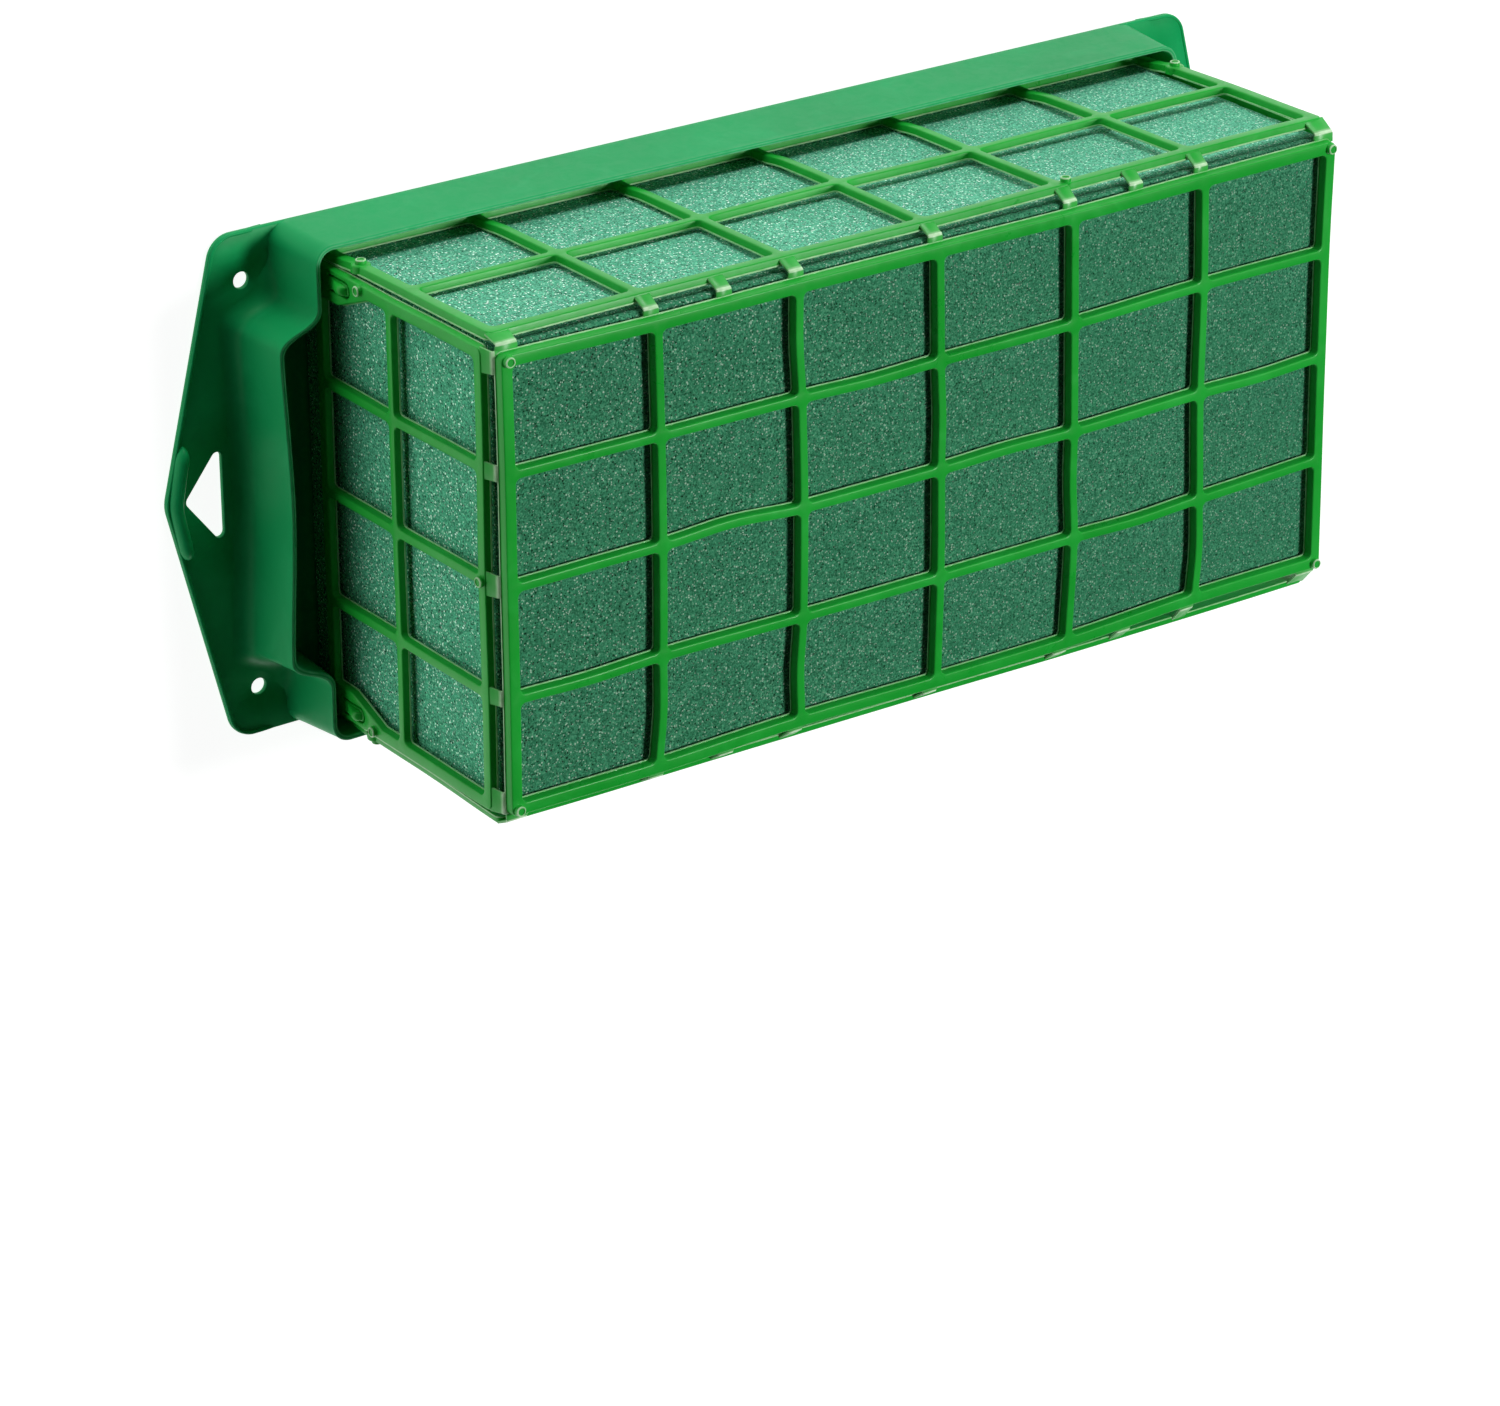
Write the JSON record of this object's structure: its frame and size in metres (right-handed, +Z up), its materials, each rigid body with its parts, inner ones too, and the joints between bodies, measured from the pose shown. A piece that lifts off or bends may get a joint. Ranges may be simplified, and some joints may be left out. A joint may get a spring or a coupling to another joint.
{
  "type": "caged floral foam brick",
  "caption": "Wet foam brick for cut flowers, held in a shallow water tray with hanging flanges by a lift-off fold-down window cage.",
  "frame": {"origin": "middle of the tray's underside", "axes": "+X along the length, +Y across the width, +Z up out of the tray"},
  "size_m": [0.3116, 0.124, 0.0874],
  "materials": {
    "tray_plastic": "satin moulded plastic, bluish green",
    "cage_plastic": "slightly glossy moulded plastic, grass green",
    "foam": "dull open-celled phenolic foam, teal green"
  },
  "bodies": {
    "tray": {"tray_pan": "tray_plastic", "hanging_flange_left": "tray_plastic", "hanging_flange_right": "tray_plastic"},
    "foam": {"foam_brick": "foam"},
    "cage": {"cage_top_grid": "cage_plastic"},
    "front_flap": {"cage_front_panel": "cage_plastic", "front_strap_1": "cage_plastic", "front_strap_2": "cage_plastic", "front_strap_3": "cage_plastic", "front_strap_4": "cage_plastic", "front_strap_5": "cage_plastic", "front_strap_6": "cage_plastic", "front_strap_7": "cage_plastic", "front_strap_8": "cage_plastic", "front_strap_9": "cage_plastic"},
    "back_flap": {"cage_back_panel": "cage_plastic", "back_strap_1": "cage_plastic", "back_strap_2": "cage_plastic", "back_strap_3": "cage_plastic", "back_strap_4": "cage_plastic", "back_strap_5": "cage_plastic", "back_strap_6": "cage_plastic", "back_strap_7": "cage_plastic", "back_strap_8": "cage_plastic", "back_strap_9": "cage_plastic"},
    "left_flap": {"cage_left_panel": "cage_plastic", "left_strap_1": "cage_plastic", "left_strap_2": "cage_plastic", "left_strap_3": "cage_plastic", "left_strap_4": "cage_plastic", "left_strap_5": "cage_plastic"},
    "right_flap": {"cage_right_panel": "cage_plastic", "right_strap_1": "cage_plastic", "right_strap_2": "cage_plastic", "right_strap_3": "cage_plastic", "right_strap_4": "cage_plastic", "right_strap_5": "cage_plastic"}
  },
  "joints": [
    {"name": "cage_lift", "type": "slide", "parent": "tray", "child": "cage", "axis": [0, 0, 1], "range_m": [0, 0.3]},
    {"name": "foam_lift", "type": "slide", "parent": "tray", "child": "foam", "axis": [0, 0, 1], "range_m": [0, 0.125]},
    {"name": "front_fold", "type": "hinge", "parent": "cage", "child": "front_flap", "pos_m": [0, -0.0558, 0.0842], "axis": [-1, 0, 0], "range_deg": [0, 49]},
    {"name": "back_fold", "type": "hinge", "parent": "cage", "child": "back_flap", "pos_m": [0, 0.0558, 0.0842], "axis": [1, 0, 0], "range_deg": [0, 49]},
    {"name": "right_fold", "type": "hinge", "parent": "cage", "child": "right_flap", "pos_m": [0.1198, 0, 0.0842], "axis": [0, -1, 0], "range_deg": [0, 49]},
    {"name": "left_fold", "type": "hinge", "parent": "cage", "child": "left_flap", "pos_m": [-0.1198, 0, 0.0842], "axis": [0, 1, 0], "range_deg": [0, 49]}
  ],
  "couplings": [
    {"joint": "foam_lift", "follows": "cage_lift", "ratio": 0.4},
    {"joint": "front_fold", "follows": "cage_lift", "rad_per_m": 2.8},
    {"joint": "back_fold", "follows": "cage_lift", "rad_per_m": 2.8},
    {"joint": "right_fold", "follows": "cage_lift", "rad_per_m": 2.8},
    {"joint": "left_fold", "follows": "cage_lift", "rad_per_m": 2.8}
  ]
}
